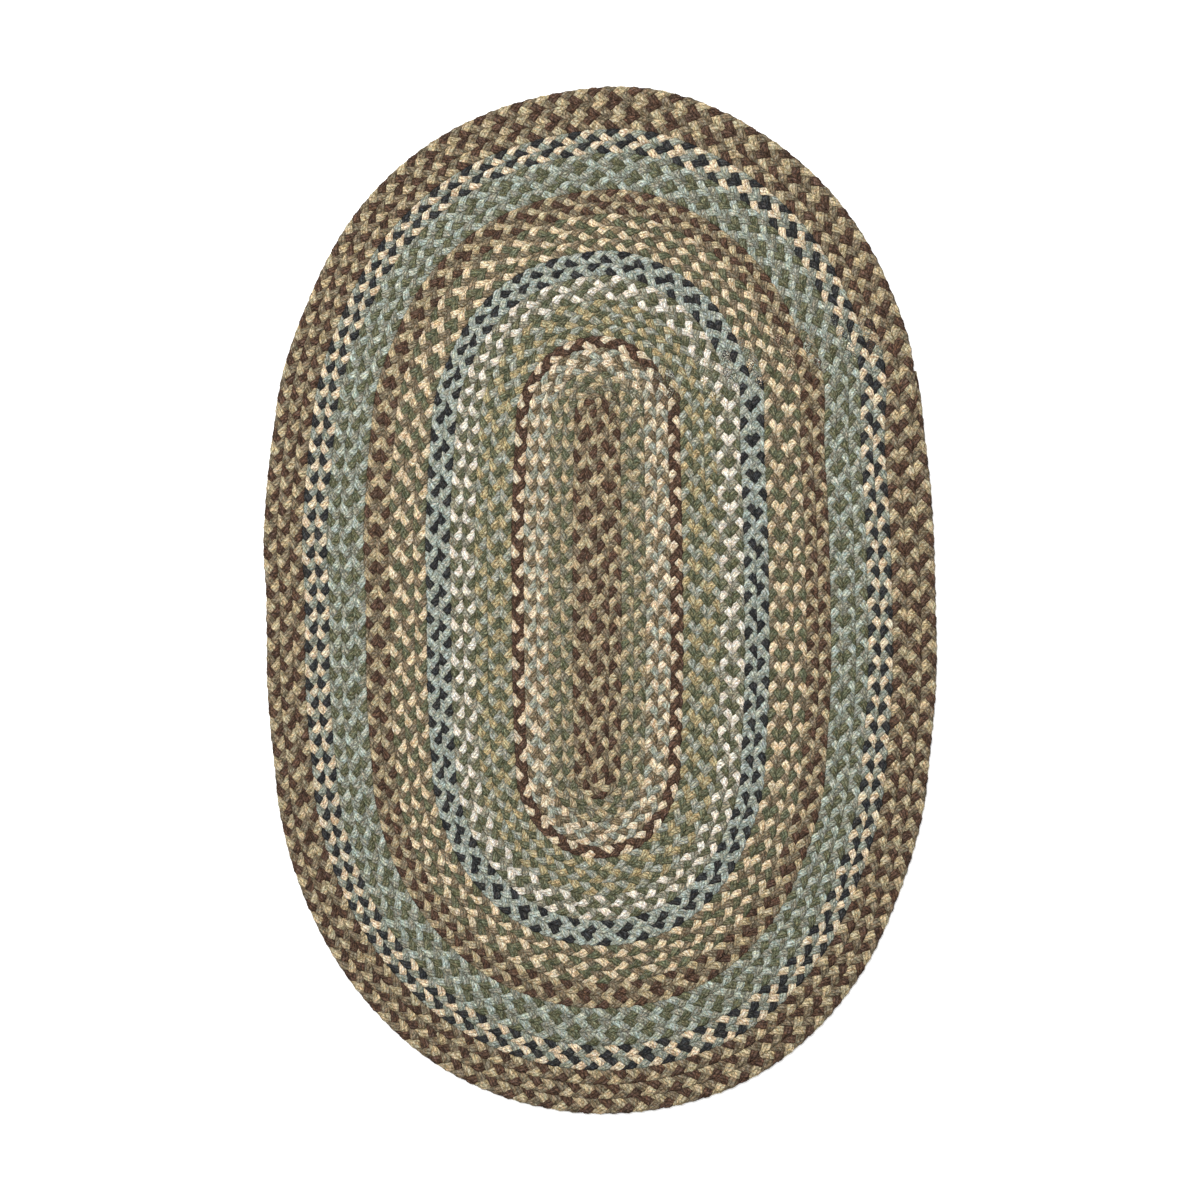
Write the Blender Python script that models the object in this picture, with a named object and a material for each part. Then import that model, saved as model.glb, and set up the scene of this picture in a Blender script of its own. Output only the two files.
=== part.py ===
"""Oval braided rug: one long flat braid, coiled round a straight middle seam and laced side to side.

The rug lies flat and is one closed solid, with a level underside, a rounded rim and a top whose ribs are
the rows of the coil. The braid starts at the far end of the seam, runs down its left side, turns round the
near end and goes on outward as one spiral. It ends on the right, beside the place where it began, and
narrows there to nothing against the row inside it.

+X is to the right, +Y along the rug towards its far end and +Z up. The origin is the middle of the rug's
box, on the floor.
"""

import math

import bmesh
import bpy

# Heights, in metres.
THICKNESS = 0.0105  # over the crests of the rows
GROOVE_DEPTH = 0.0028  # how far a groove between two rows lies below the crests
RIM_HEIGHT = 0.0050  # where the rim reaches furthest out
RIM_INSET = 0.0040  # how far the underside stays inside the rim

# The middle seam, in metres, and the coil round it.
SEAM_X = -0.0058
SEAM_FAR_Y = 0.3444
SEAM_NEAR_Y = -0.3180
ROWS = 27  # from the seam to the rim
SHOULDER = 0.24  # where a row's level crest begins, as a share of its width
END_TAPER = 0.26  # length over which the braid's last end narrows

# How far the rim lies from the seam, in metres, at even steps along each stretch of the outline.
# The far arc runs from right to left, and the outline goes on from there the same way round.
RIM_REACH = {
    "far_arc": (0.584, 0.570, 0.572, 0.577, 0.583, 0.570, 0.564, 0.558, 0.554),
    "left_side": (0.576, 0.587, 0.595, 0.599, 0.594, 0.593, 0.592, 0.586),
    "near_arc": (0.577, 0.568, 0.575, 0.590, 0.601, 0.606, 0.607, 0.594, 0.581),
    "right_side": (0.594, 0.609, 0.608, 0.601),
}
MEAN_REACH = 0.585

# Steps of the surface along each stretch, and the step of the far arc where a turn begins.
ARC_STEPS = 26
SIDE_STEPS = 6
START_STEP = 2

SEAM_LENGTH = SEAM_FAR_Y - SEAM_NEAR_Y
STRETCH_STEPS = {
    "far_arc": ARC_STEPS,
    "left_side": SIDE_STEPS,
    "near_arc": ARC_STEPS,
    "right_side": SIDE_STEPS,
}
STRETCH_LENGTH = {
    "far_arc": math.pi * MEAN_REACH,
    "left_side": SEAM_LENGTH,
    "near_arc": math.pi * MEAN_REACH,
    "right_side": SEAM_LENGTH,
}
OUTLINE_LENGTH = sum(STRETCH_LENGTH.values())
START_SHARE = START_STEP / ARC_STEPS
START_DISTANCE = START_SHARE * STRETCH_LENGTH["far_arc"]

YARN_COLOUR = (0.155, 0.135, 0.095, 1.0)
YARN_ROUGHNESS = 0.9


def smooth_step(share):
    """0 to 1 with level ends, as share goes from 0 to 1."""
    held = min(max(share, 0.0), 1.0)
    return held * held * (3.0 - 2.0 * held)


def stretch_start(stretch):
    """Distance along the outline at which a stretch begins."""
    names = list(STRETCH_LENGTH)
    return sum(STRETCH_LENGTH[name] for name in names[: names.index(stretch)])


def rim_knots():
    """The table's places as (distance along the outline, reach), once round."""
    knots = []
    for stretch, reaches in RIM_REACH.items():
        step = STRETCH_LENGTH[stretch] / len(reaches)
        start = stretch_start(stretch)
        knots += [(start + step * count, reach) for count, reach in enumerate(reaches)]
    return knots


KNOTS = rim_knots()


def knot(index):
    """A knot by its number, going on round the outline past either end of the list."""
    laps, place = divmod(index, len(KNOTS))
    distance, reach = KNOTS[place]
    return distance + laps * OUTLINE_LENGTH, reach


def knot_slope(index):
    """Slope of the rim's reach at a knot, from the knots on either side of it."""
    before, after = knot(index - 1), knot(index + 1)
    return (after[1] - before[1]) / (after[0] - before[0])


def rim_reach(distance):
    """Smooth curve through the knots: how far the rim lies from the seam at this distance round."""
    along = distance % OUTLINE_LENGTH
    index = max(number for number in range(len(KNOTS)) if KNOTS[number][0] <= along)
    (start, low), (end, high) = knot(index), knot(index + 1)
    gap = end - start
    share = (along - start) / gap
    rise = smooth_step(share)
    leave = share * (1.0 - share) ** 2 * gap * knot_slope(index)
    arrive = share**2 * (share - 1.0) * gap * knot_slope(index + 1)
    return low + (high - low) * rise + leave + arrive


def stations():
    """The steps of one turn as (stretch, share of the stretch), from where a turn begins."""
    turn = [
        (stretch, step / steps)
        for stretch, steps in STRETCH_STEPS.items()
        for step in range(steps)
    ]
    return turn[START_STEP:] + turn[:START_STEP]


def seam_point(stretch, share):
    """The point of the seam that a station is measured from."""
    along = {
        "far_arc": SEAM_FAR_Y,
        "left_side": SEAM_FAR_Y - SEAM_LENGTH * share,
        "near_arc": SEAM_NEAR_Y,
        "right_side": SEAM_NEAR_Y + SEAM_LENGTH * share,
    }
    return SEAM_X, along[stretch]


def heading(stretch, share):
    """The level direction in which a station lies from its point of the seam."""
    angle = {
        "far_arc": math.pi * share,
        "left_side": math.pi,
        "near_arc": math.pi * (1.0 + share),
        "right_side": 0.0,
    }[stretch]
    return math.cos(angle), math.sin(angle)


def drift(step, station):
    """Rows that the coil has moved outward since its turn began: all of it happens on the far arc."""
    stretch, share = station
    if stretch != "far_arc" or step >= ARC_STEPS:
        return 1.0
    return (share - START_SHARE) / (1.0 - START_SHARE)


def rows_to_rim(step, station):
    """How many rows lie between the seam and the rim, counting the last one as it narrows."""
    stretch, share = station
    distance = stretch_start(stretch) + share * STRETCH_LENGTH[stretch]
    to_end = (START_DISTANCE - distance) % OUTLINE_LENGTH
    if step and to_end < END_TAPER:
        return ROWS - 1.0 + smooth_step(to_end / END_TAPER)
    return ROWS - 1.0 + drift(step, station)


class Station:
    """One step of a turn, with the width of a row there."""

    def __init__(self, step, station):
        stretch, share = station
        self.base = seam_point(stretch, share)
        self.heading = heading(stretch, share)
        self.drift = drift(step, station)
        distance = stretch_start(stretch) + share * STRETCH_LENGTH[stretch]
        self.rim = rim_reach(distance)
        self.row_width = self.rim / rows_to_rim(step, station)

    def groove(self, turn):
        """Distance from the seam to the groove on the inner side of this turn's row, or to the rim."""
        if turn == 0:
            return 0.0
        if turn == ROWS:
            return self.rim
        return (turn - 1.0 + self.drift) * self.row_width

    def point(self, distance, height):
        """The point at this distance from the seam and this height."""
        (base_x, base_y), (out_x, out_y) = self.base, self.heading
        return base_x + out_x * distance, base_y + out_y * distance, height


class PointBook:
    """Adds each point to a mesh once, so that faces which meet there share it."""

    GRAIN = 1e-6

    def __init__(self, mesh):
        self.mesh = mesh
        self.seen = {}

    def vertex(self, point):
        """The mesh's vertex at this point, made on its first use."""
        key = tuple(round(value / self.GRAIN) for value in point)
        if key not in self.seen:
            self.seen[key] = self.mesh.verts.new(point)
        return self.seen[key]

    def face(self, corners):
        """A face on these points, without the corners that fall together."""
        vertices = [self.vertex(point) for point in corners]
        kept = [v for place, v in enumerate(vertices) if v is not vertices[place - 1]]
        if len(kept) > 2:
            self.mesh.faces.new(kept)


def row_profile(station, turn):
    """Points across one row at a station, from its inner groove to its outer one.

    Where the braid begins or ends its row has no width, and all four points fall together.
    """
    groove_height = THICKNESS - GROOVE_DEPTH
    if turn == ROWS:
        return [station.point(station.rim, RIM_HEIGHT)] * 4
    inner, outer = station.groove(turn), station.groove(turn + 1)
    outer_height = RIM_HEIGHT if turn == ROWS - 1 else groove_height
    width = outer - inner
    if width == 0.0:
        return [station.point(inner, groove_height)] * 4
    return [
        station.point(inner, groove_height),
        station.point(inner + SHOULDER * width, THICKNESS),
        station.point(outer - SHOULDER * width, THICKNESS),
        station.point(outer, outer_height),
    ]


def build_coil():
    """The rug's mesh: the ribbed top, strip by strip along the spiral, then the rim and the underside."""
    turn_stations = [Station(step, place) for step, place in enumerate(stations())]
    steps = len(turn_stations)
    mesh = bmesh.new()
    book = PointBook(mesh)
    for turn in range(ROWS):
        profiles = [row_profile(station, turn) for station in turn_stations]
        profiles.append(row_profile(turn_stations[0], turn + 1))
        for here, beyond in zip(profiles[:-1], profiles[1:]):
            for lane in range(len(here) - 1):
                book.face((here[lane], here[lane + 1], beyond[lane + 1], beyond[lane]))
    underside = []
    for step in range(steps):
        station, following = turn_stations[step], turn_stations[(step + 1) % steps]
        rim_here, rim_next = (s.point(s.rim, RIM_HEIGHT) for s in (station, following))
        low_here, low_next = (s.point(s.rim - RIM_INSET, 0.0) for s in (station, following))
        book.face((rim_here, low_here, low_next, rim_next))
        underside.append(low_here)
    book.face(underside[::-1])
    return mesh


def yarn_material():
    """Matt jute, in the mean colour of the rug's yarns."""
    material = bpy.data.materials.new("jute_yarn")
    material.use_nodes = True
    shader = material.node_tree.nodes["Principled BSDF"]
    shader.inputs["Base Color"].default_value = YARN_COLOUR
    shader.inputs["Roughness"].default_value = YARN_ROUGHNESS
    shader.inputs["Metallic"].default_value = 0.0
    return material


def main():
    """Clears the scene and builds the rug in a collection of its own."""
    for old in list(bpy.data.objects):
        bpy.data.objects.remove(old, do_unlink=True)
    collection = bpy.data.collections.new("braided_rug")
    bpy.context.scene.collection.children.link(collection)
    mesh = build_coil()
    data = bpy.data.meshes.new("braid_coil")
    mesh.to_mesh(data)
    mesh.free()
    data.materials.append(yarn_material())
    collection.objects.link(bpy.data.objects.new("braid_coil", data))


main()
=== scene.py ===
"""The looks of an oval braided rug: one long three-strand braid of jute yarn, coiled flat round a seam.

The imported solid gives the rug's place and size. Here the braid's three strands are carried along the same
coil, over and under each other, and each band of rows is worked in its own three yarns. +X is to the
right, +Y along the rug towards its far end and +Z up, in metres, with the origin under the middle of the
rug, on the floor.
"""

import logging
import math
from dataclasses import dataclass, field
from enum import Enum
from typing import Any

import bpy
import numpy as np
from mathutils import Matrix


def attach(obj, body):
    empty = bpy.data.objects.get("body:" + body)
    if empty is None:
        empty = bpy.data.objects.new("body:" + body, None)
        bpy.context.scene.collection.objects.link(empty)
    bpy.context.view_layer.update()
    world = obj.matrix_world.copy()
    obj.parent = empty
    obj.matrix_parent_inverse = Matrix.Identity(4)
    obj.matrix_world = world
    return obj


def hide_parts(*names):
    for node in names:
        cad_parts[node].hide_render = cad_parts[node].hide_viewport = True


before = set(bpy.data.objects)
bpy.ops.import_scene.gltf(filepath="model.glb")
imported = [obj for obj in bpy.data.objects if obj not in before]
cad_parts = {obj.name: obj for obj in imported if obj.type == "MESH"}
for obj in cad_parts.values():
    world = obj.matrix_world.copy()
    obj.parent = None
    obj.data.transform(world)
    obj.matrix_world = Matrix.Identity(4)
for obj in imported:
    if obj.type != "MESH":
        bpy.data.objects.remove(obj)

LOG = logging.getLogger("braided_rug")
NODE = "braid_coil"
BODY = "root"

Colour = tuple[float, float, float, float]

# How a screen turns its numbers into light: evenly along a short foot, and above it along a curve.
SCREEN_WHITE = 255.0
FOOT_TOP = 0.04045  # as a share of white
FOOT_SLOPE = 12.92
CURVE_SHIFT = 0.055
CURVE_POWER = 2.4


def shade_of(screen: tuple[int, int, int]) -> Colour:
    """Turns a colour as a screen shows it into the linear light that shaders work in.

    Each number, as a share of white, is divided by the foot's slope. Over the foot's top it is shifted
    instead, scaled so that white stays white, and raised to the curve's power.

    Args:
        screen: Red, green and blue on a screen, 0 to 255.

    Returns:
        Linear red, green and blue with a full alpha.
    """
    shares = np.array(screen) / SCREEN_WHITE
    curved = ((shares + CURVE_SHIFT) / (1.0 + CURVE_SHIFT)) ** CURVE_POWER
    linear = np.where(shares <= FOOT_TOP, shares / FOOT_SLOPE, curved)
    return (*(float(part) for part in linear), 1.0)


def smooth_step(share: np.ndarray) -> np.ndarray:
    """0 to 1 with level ends: three times the square less twice the cube, as share goes from 0 to 1."""
    held = np.clip(share, 0.0, 1.0)
    return held * held * (3.0 - 2.0 * held)


def ramp(values: np.ndarray, low: float, high: float) -> np.ndarray:
    """A smooth step that is 0 where the values are under low and 1 where they are over high."""
    return smooth_step((values - low) / (high - low))


def unit(vectors: np.ndarray) -> np.ndarray:
    """Vectors in the same directions, each with a length of 1."""
    return vectors / np.linalg.norm(vectors, axis=1)[:, None]


def lengths_along(points: np.ndarray) -> np.ndarray:
    """Length along a line of points, from the first one to each."""
    steps = np.linalg.norm(np.diff(points, axis=0), axis=1)
    return np.concatenate([[0.0], np.cumsum(steps)])


# ---- Shader maths ----


class Value:
    """A number that varies over a surface: one socket, with the sums that can be done on it."""

    def __init__(self, graph: "Graph", socket: bpy.types.NodeSocket) -> None:
        """Keeps the socket and the graph that it belongs to."""
        self.graph = graph
        self.socket = socket

    def _sum(self, operation: str, first: Any, second: Any = 0.0) -> "Value":
        """Adds one Math node with this operation on the two values."""
        node = self.graph.node("ShaderNodeMath", {"operation": operation}, {0: first, 1: second})
        return Value(self.graph, node.outputs[0])

    def __add__(self, other: Any) -> "Value":
        """This value plus another."""
        return self._sum("ADD", self, other)

    __radd__ = __add__

    def __sub__(self, other: Any) -> "Value":
        """This value less another."""
        return self._sum("SUBTRACT", self, other)

    def __rsub__(self, other: Any) -> "Value":
        """Another value less this one."""
        return self._sum("SUBTRACT", other, self)

    def __mul__(self, other: Any) -> "Value":
        """This value times another."""
        return self._sum("MULTIPLY", self, other)

    def __gt__(self, other: Any) -> "Value":
        """1 where this value is over another, and 0 elsewhere."""
        return self._sum("GREATER_THAN", self, other)

    def floor(self) -> "Value":
        """The whole number at or under this value."""
        return self._sum("FLOOR", self)

    def fraction(self) -> "Value":
        """What is left over this value's whole number."""
        return self._sum("FRACT", self)

    def rise(self, low: float, high: float) -> "Value":
        """0 under low, 1 over high, and a smooth step between."""
        node = self.graph.node(
            "ShaderNodeMapRange",
            {"interpolation_type": "SMOOTHSTEP", "clamp": True},
            {"Value": self, "From Min": low, "From Max": high, "To Min": 0.0, "To Max": 1.0},
        )
        return Value(self.graph, node.outputs["Result"])


class Graph:
    """A new material's nodes, round one Principled BSDF."""

    NOISE_ROUGHNESS = 0.6  # how strong each finer octave of noise is beside the one before
    FIRST_COLOUR = 6  # inputs of a Mix node
    SECOND_COLOUR = 7
    MIXED_COLOUR = 2  # and its output

    def __init__(self, name: str) -> None:
        """Makes the material and finds its shader."""
        self.material = bpy.data.materials.new(name)
        self.material.use_nodes = True
        self.tree = self.material.node_tree
        self.shader = self.tree.nodes["Principled BSDF"]

    def set_inputs(self, node: bpy.types.Node, inputs: dict[Any, Any]) -> None:
        """Sets or links a node's inputs.

        Args:
            node: The node.
            inputs: Each input's name or number, with a Value, a socket or a constant for it.
        """
        for key, given in inputs.items():
            source = given.socket if isinstance(given, Value) else given
            if isinstance(source, bpy.types.NodeSocket):
                self.tree.links.new(source, node.inputs[key])
            else:
                node.inputs[key].default_value = source

    def node(self, kind: str, settings: dict[str, Any], inputs: dict[Any, Any]) -> bpy.types.Node:
        """Adds a node.

        Args:
            kind: The node's type.
            settings: Its own properties, such as a Math node's operation, which are set first.
            inputs: Its inputs, as set_inputs takes them.

        Returns:
            The new node.
        """
        node = self.tree.nodes.new(kind)
        for name, given in settings.items():
            setattr(node, name, given)
        self.set_inputs(node, inputs)
        return node

    def attribute(self, name: str) -> Value:
        """A number that the mesh holds at each of its points."""
        node = self.node("ShaderNodeAttribute", {"attribute_name": name}, {})
        return Value(self, node.outputs["Fac"])

    def map_places(self, name: str) -> tuple[Value, Value]:
        """Reads the mesh's own UV map.

        Args:
            name: The map's name.

        Returns:
            Its two coordinates.
        """
        places = self.node("ShaderNodeUVMap", {"uv_map": name}, {})
        parts = self.node("ShaderNodeSeparateXYZ", {}, {0: places.outputs["UV"]})
        return Value(self, parts.outputs["X"]), Value(self, parts.outputs["Y"])

    def noise(self, across: Value, along: Value, pattern: float, detail: float) -> Value:
        """Soft noise with one lump to each unit of its coordinates.

        Args:
            across: First coordinate, in lumps.
            along: Second coordinate, in lumps.
            pattern: Third coordinate, which picks one pattern or another.
            detail: Octaves of finer noise on top.

        Returns:
            The noise, from 0 to 1 and mostly near a half.
        """
        place = self.node("ShaderNodeCombineXYZ", {}, {"X": across, "Y": along, "Z": pattern})
        node = self.node(
            "ShaderNodeTexNoise",
            {"noise_dimensions": "3D"},
            {"Vector": place.outputs[0], "Scale": 1.0, "Detail": detail, "Roughness": self.NOISE_ROUGHNESS},
        )
        return Value(self, node.outputs["Fac"])

    def dice(self, number: Value) -> Value:
        """An even random number from 0 to 1 for each number."""
        node = self.node("ShaderNodeTexWhiteNoise", {"noise_dimensions": "1D"}, {"W": number})
        return Value(self, node.outputs["Value"])

    def blend(self, share: Value, first: Any, second: Any) -> bpy.types.NodeSocket:
        """The first colour, going over to the second as share goes from 0 to 1."""
        inputs = {"Factor": share, self.FIRST_COLOUR: first, self.SECOND_COLOUR: second}
        return self.node("ShaderNodeMix", {"data_type": "RGBA"}, inputs).outputs[self.MIXED_COLOUR]

    def scaled(self, colour: bpy.types.NodeSocket, factor: Value) -> bpy.types.NodeSocket:
        """A colour made lighter or darker by a factor."""
        node = self.node("ShaderNodeVectorMath", {"operation": "SCALE"}, {0: colour, "Scale": factor})
        return node.outputs[0]

    def tinted(self, colour: bpy.types.NodeSocket, warm: Value, green: Value) -> bpy.types.NodeSocket:
        """Makes a colour warmer and greener.

        Args:
            colour: The colour.
            warm: How much more red and less blue it gets, as a share.
            green: How much more green it gets.

        Returns:
            The new colour.
        """
        tint = self.node("ShaderNodeCombineXYZ", {}, {0: 1.0 + warm, 1: 1.0 + green, 2: 1.0 - warm})
        factors = {0: colour, 1: tint.outputs[0]}
        return self.node("ShaderNodeVectorMath", {"operation": "MULTIPLY"}, factors).outputs[0]


# ---- Yarns ----


@dataclass(frozen=True)
class YarnFinish:
    """How one yarn is dyed, before the light and its own creases darken it."""

    body: Colour
    fleck: Colour  # of the darker fibres
    glint: Colour  # of the lighter ones


class Yarn(Enum):
    """The yarns that the rug is worked in: each one's body, darker and lighter fibres, as on a screen."""

    MAROON = (90, 70, 57), (44, 34, 28), (134, 105, 91)
    TAN = (187, 170, 137), (106, 90, 60), (206, 192, 161)
    OLIVE_BROWN = (131, 117, 96), (70, 60, 43), (172, 159, 133)
    NAVY = (57, 57, 56), (26, 27, 30), (92, 92, 92)
    PEACH = (221, 204, 175), (144, 112, 77), (240, 227, 200)
    SAGE = (151, 153, 139), (82, 86, 72), (192, 196, 182)
    PALE_SAGE = (173, 179, 165), (100, 105, 90), (212, 218, 204)
    GREEN = (107, 107, 84), (57, 60, 40), (150, 150, 122)
    GREY_BROWN = (145, 145, 130), (82, 82, 68), (190, 189, 173)
    CREAM = (220, 201, 169), (140, 114, 73), (240, 225, 196)
    LIGHT_SAGE = (167, 172, 160), (96, 103, 92), (210, 216, 204)
    WHITE = (229, 220, 204), (152, 140, 116), (250, 244, 231)
    GREY_OLIVE = (149, 145, 127), (82, 79, 64), (194, 189, 168)
    GOLD = (178, 163, 125), (98, 84, 53), (216, 203, 166)
    DUSTY_SAGE = (163, 163, 147), (93, 96, 80), (206, 207, 191)
    BROWN = (127, 113, 91), (66, 57, 40), (174, 160, 134)
    GREY = (138, 132, 113), (76, 73, 57), (184, 178, 156)

    @property
    def finish(self) -> YarnFinish:
        """The yarn's colours in linear light."""
        return YarnFinish(*map(shade_of, self.value))


# Numbers that keep one throw of the dice, or one pattern of noise, apart from the others.
PLY_DICE = 17.0
TWIST_DICE = 0.25
BEAD_DICE = 113.0
HEATHER_DICE = 977.0
WARM_DICE = 613.0
GREEN_DICE = 1201.0
FIBRE_PATTERN = 0.0
SPECK_PATTERN = 2.7
FLECK_PATTERN = 5.3
BLOTCH_PATTERN = 9.1


@dataclass(frozen=True)
class Lay:
    """Where a point of a strand lies among its plies and their beads."""

    graph: Graph  # the nodes that work it out
    seed: float  # keeps the strand's dice and patterns apart from the other strands'
    along: Value  # length along the strand
    turned: Value  # turns round the strand, counted from a ply that turns with it
    ply: Value  # a number of the ply's own
    ridge: Value  # 1 on the middle of the ply and 0 in the groove beside it
    crest: Value  # 1 on the middle of the bead and 0 in the crease beside it
    bead: Value  # the bead's own throw of the dice


@dataclass(frozen=True)
class YarnDress:
    """Dresses a strand: plies of one yarn side by side, with the last of the yarn before it dying out.

    A bead is one turn of a ply's own twist. Each has its own share of darker and lighter fibres and its own
    tone, which makes the yarn heathered. Sizes are in metres.
    """

    yarn: Yarn
    before: Yarn  # of the band inside this one
    plies: int = 9  # round the whole strand
    ply_turns: float = 1.6  # turns that the plies make round the strand in each metre
    strand_girth: float = 0.038
    bead_length: float = 0.0034  # from one crest of a ply's own twist to the next
    bead_lean: float = 0.45  # how far a crest runs on along the ply from its middle to its side, in beads
    twist_spread: float = 9.0  # how many beads one ply's twist may be ahead of another's

    fibre_width: float = 0.0007
    fibre_length: float = 0.0060
    fibre_detail: float = 2.0  # octaves of noise
    fleck_width: float = 0.0021
    fleck_length: float = 0.0030
    fleck_detail: float = 1.0
    fleck_rise: tuple[float, float] = (0.72, 0.80)  # of the noise, from no darker fibres to all of them
    fleck_share: float = 0.72  # how far the darker fibres take over where they show
    glint_fall: tuple[float, float] = (0.52, 0.60)  # of the noise, from all the lighter fibres to none
    glint_share: float = 0.36  # how far these take over
    bead_flecks: float = 0.35  # how far both gather in whole beads
    change_mix: tuple[float, float] = (0.30, 0.70)  # of the specks, which mix one yarn with the next

    plain_tone: float = 0.90
    fibre_tone: float = 0.32  # how much lighter single fibres may be
    speck_size: float = 0.0015  # of the smallest lighter and darker specks
    speck_detail: float = 0.0
    speckle: float = 1.20  # how much lighter or darker one speck is than another
    heather: float = 0.46  # likewise one bead
    ply_heather: float = 0.14  # likewise one ply
    blotchiness: float = 0.24  # likewise one blotch
    blotch_length: float = 0.035
    blotches_round: float = 2.0  # blotches round the strand
    blotch_detail: float = 1.0
    warmth: float = 0.20  # how much warmer or colder one bead is than another
    greenness: float = 0.10

    crease_shade: float = 0.36  # painted shade: how much light the colour keeps at the bottom of a crease between two strands
    crease_heights: tuple[float, float] = (0.22, 0.72)  # bottom and top of the painted crease shade, in shares of the braid's height
    groove_shade: float = 0.42  # painted shade: how much light the colour keeps between two plies
    bead_shade: float = 0.60  # and between two beads, also painted shade
    bounce: float = 0.50  # how much of this painted shade the light inside a yarn takes away, were it pure white

    ridge_height: float = 0.6  # of a ply, as a share of the bump's distance
    crest_height: float = 0.3  # likewise of a bead
    fibre_height: float = 0.2  # and of a fibre
    bump_strength: float = 0.9
    bump_distance: float = 0.0009
    roughness: float = 0.82
    fibre_roughness: float = 0.14
    specular: float = 0.08

    def lay(self, graph: Graph, seed: float) -> Lay:
        """Finds each point's place among the plies and beads.

        A ridge or a crest is 1 less the square of a point's distance from its middle line, where half its
        width counts as 1.

        Args:
            graph: The material's nodes.
            seed: Keeps the strand's dice and patterns apart from the other strands'.

        Returns:
            The place, from the map "yarn".
        """
        around, along = graph.map_places("yarn")
        turned = around + along * self.ply_turns
        plies = turned * float(self.plies)
        ply = plies.floor() + seed * PLY_DICE
        off_ridge = plies.fraction() * 2.0 - 1.0
        twist = along * (1.0 / self.bead_length) + off_ridge * self.bead_lean
        twist = twist + graph.dice(ply + TWIST_DICE) * self.twist_spread
        off_crest = twist.fraction() * 2.0 - 1.0
        bead = graph.dice(twist.floor() + ply * BEAD_DICE)
        ridge, crest = 1.0 - off_ridge * off_ridge, 1.0 - off_crest * off_crest
        return Lay(graph, seed, along, turned, ply, ridge, crest, bead)

    def fibres(self, lay: Lay, width: float, length: float, pattern: float, detail: float) -> Value:
        """Noise that lies along the plies, in lumps of this width and length."""
        across = lay.turned * self.strand_girth * (1.0 / width)
        return lay.graph.noise(across, lay.along * (1.0 / length), lay.seed + pattern, detail)

    def dyed(self, lay: Lay, grain: Value) -> bpy.types.NodeSocket:
        """Mixes the yarn's darker and lighter fibres, and what is left of the yarn before.

        Args:
            lay: The place on the strand.
            grain: Noise of the smallest specks, by which the two yarns are mixed.

        Returns:
            The colour, which reads the attribute "change".
        """
        graph = lay.graph
        fleck = self.fibres(lay, self.fleck_width, self.fleck_length, FLECK_PATTERN, self.fleck_detail)
        fleck = fleck + lay.bead * self.bead_flecks
        dark = fleck.rise(*self.fleck_rise) * self.fleck_share
        light = (1.0 - fleck.rise(*self.glint_fall)) * self.glint_share
        own, old = (
            graph.blend(light, graph.blend(dark, finish.body, finish.fleck), finish.glint)
            for finish in (self.yarn.finish, self.before.finish)
        )
        return graph.blend(graph.attribute("change") > grain.rise(*self.change_mix), own, old)

    def tone(self, lay: Lay, fibre: Value, grain: Value) -> Value:
        """How light each point is: its own tone, times painted shade in its grooves and creases.

        It starts from the fibres. Specks, beads, plies and blotches each multiply it by a number round 1,
        and painted shade in grooves, beads' creases and strands' creases by 1 less their depth times the
        light they take.

        Args:
            lay: The place on the strand.
            fibre: Noise of single fibres.
            grain: Noise of the smallest specks.

        Returns:
            The tone with its painted shade, which reads the attribute "lie".
        """
        graph = lay.graph
        across, along = lay.turned * self.blotches_round, lay.along * (1.0 / self.blotch_length)
        blotch = graph.noise(across, along, lay.seed + BLOTCH_PATTERN, self.blotch_detail)
        tone = self.plain_tone + fibre * self.fibre_tone
        for share, spread in (
            (grain, self.speckle),
            (graph.dice(lay.bead * HEATHER_DICE), self.heather),
            (graph.dice(lay.ply), self.ply_heather),
            (blotch, self.blotchiness),
        ):
            tone = tone * (1.0 - spread / 2.0 + share * spread)
        # share of the painted shade that a yarn this pale keeps
        kept = 1.0 - self.bounce * sum(self.yarn.finish.body[:3]) / 3.0
        # painted shade in the grooves between plies, the creases between beads and the creases between
        # strands
        for depth, left in (
            (1.0 - lay.ridge, self.groove_shade),
            (1.0 - lay.crest, self.bead_shade),
            (1.0 - graph.attribute("crease_light").rise(*self.crease_heights), self.crease_shade),
        ):
            tone = tone * (1.0 - depth * ((1.0 - left) * kept))
        return tone

    def material(self, name: str, seed: float) -> bpy.types.Material:
        """Builds the yarn's material.

        Args:
            name: The material's name.
            seed: A number of the strand's own, so that no two strands are alike.

        Returns:
            The material, which reads the map "yarn" and the attributes "lie" and "change".
        """
        graph = Graph(name)
        lay = self.lay(graph, seed)
        fibre = self.fibres(lay, self.fibre_width, self.fibre_length, FIBRE_PATTERN, self.fibre_detail)
        grain = self.fibres(lay, self.speck_size, self.speck_size, SPECK_PATTERN, self.speck_detail)
        warm, green = (
            (graph.dice(lay.bead * throw) - 0.5) * spread
            for throw, spread in ((WARM_DICE, self.warmth), (GREEN_DICE, self.greenness))
        )
        colour = graph.tinted(self.dyed(lay, grain), warm, green)
        twist_height = lay.ridge * self.ridge_height + lay.crest * lay.ridge * self.crest_height
        height = twist_height + fibre * self.fibre_height
        bump_inputs = {"Height": height, "Strength": self.bump_strength, "Distance": self.bump_distance}
        bump = graph.node("ShaderNodeBump", {}, bump_inputs)
        graph.set_inputs(
            graph.shader,
            {
                # the base colour carries the painted shade of grooves and creases
                "Base Color": graph.scaled(colour, self.tone(lay, fibre, grain)),
                "Roughness": self.roughness + fibre * self.fibre_roughness,
                "Normal": bump.outputs["Normal"],
                "Metallic": 0.0,
                "Specular IOR Level": self.specular,
            },
        )
        return graph.material


# ---- Bands ----


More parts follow.
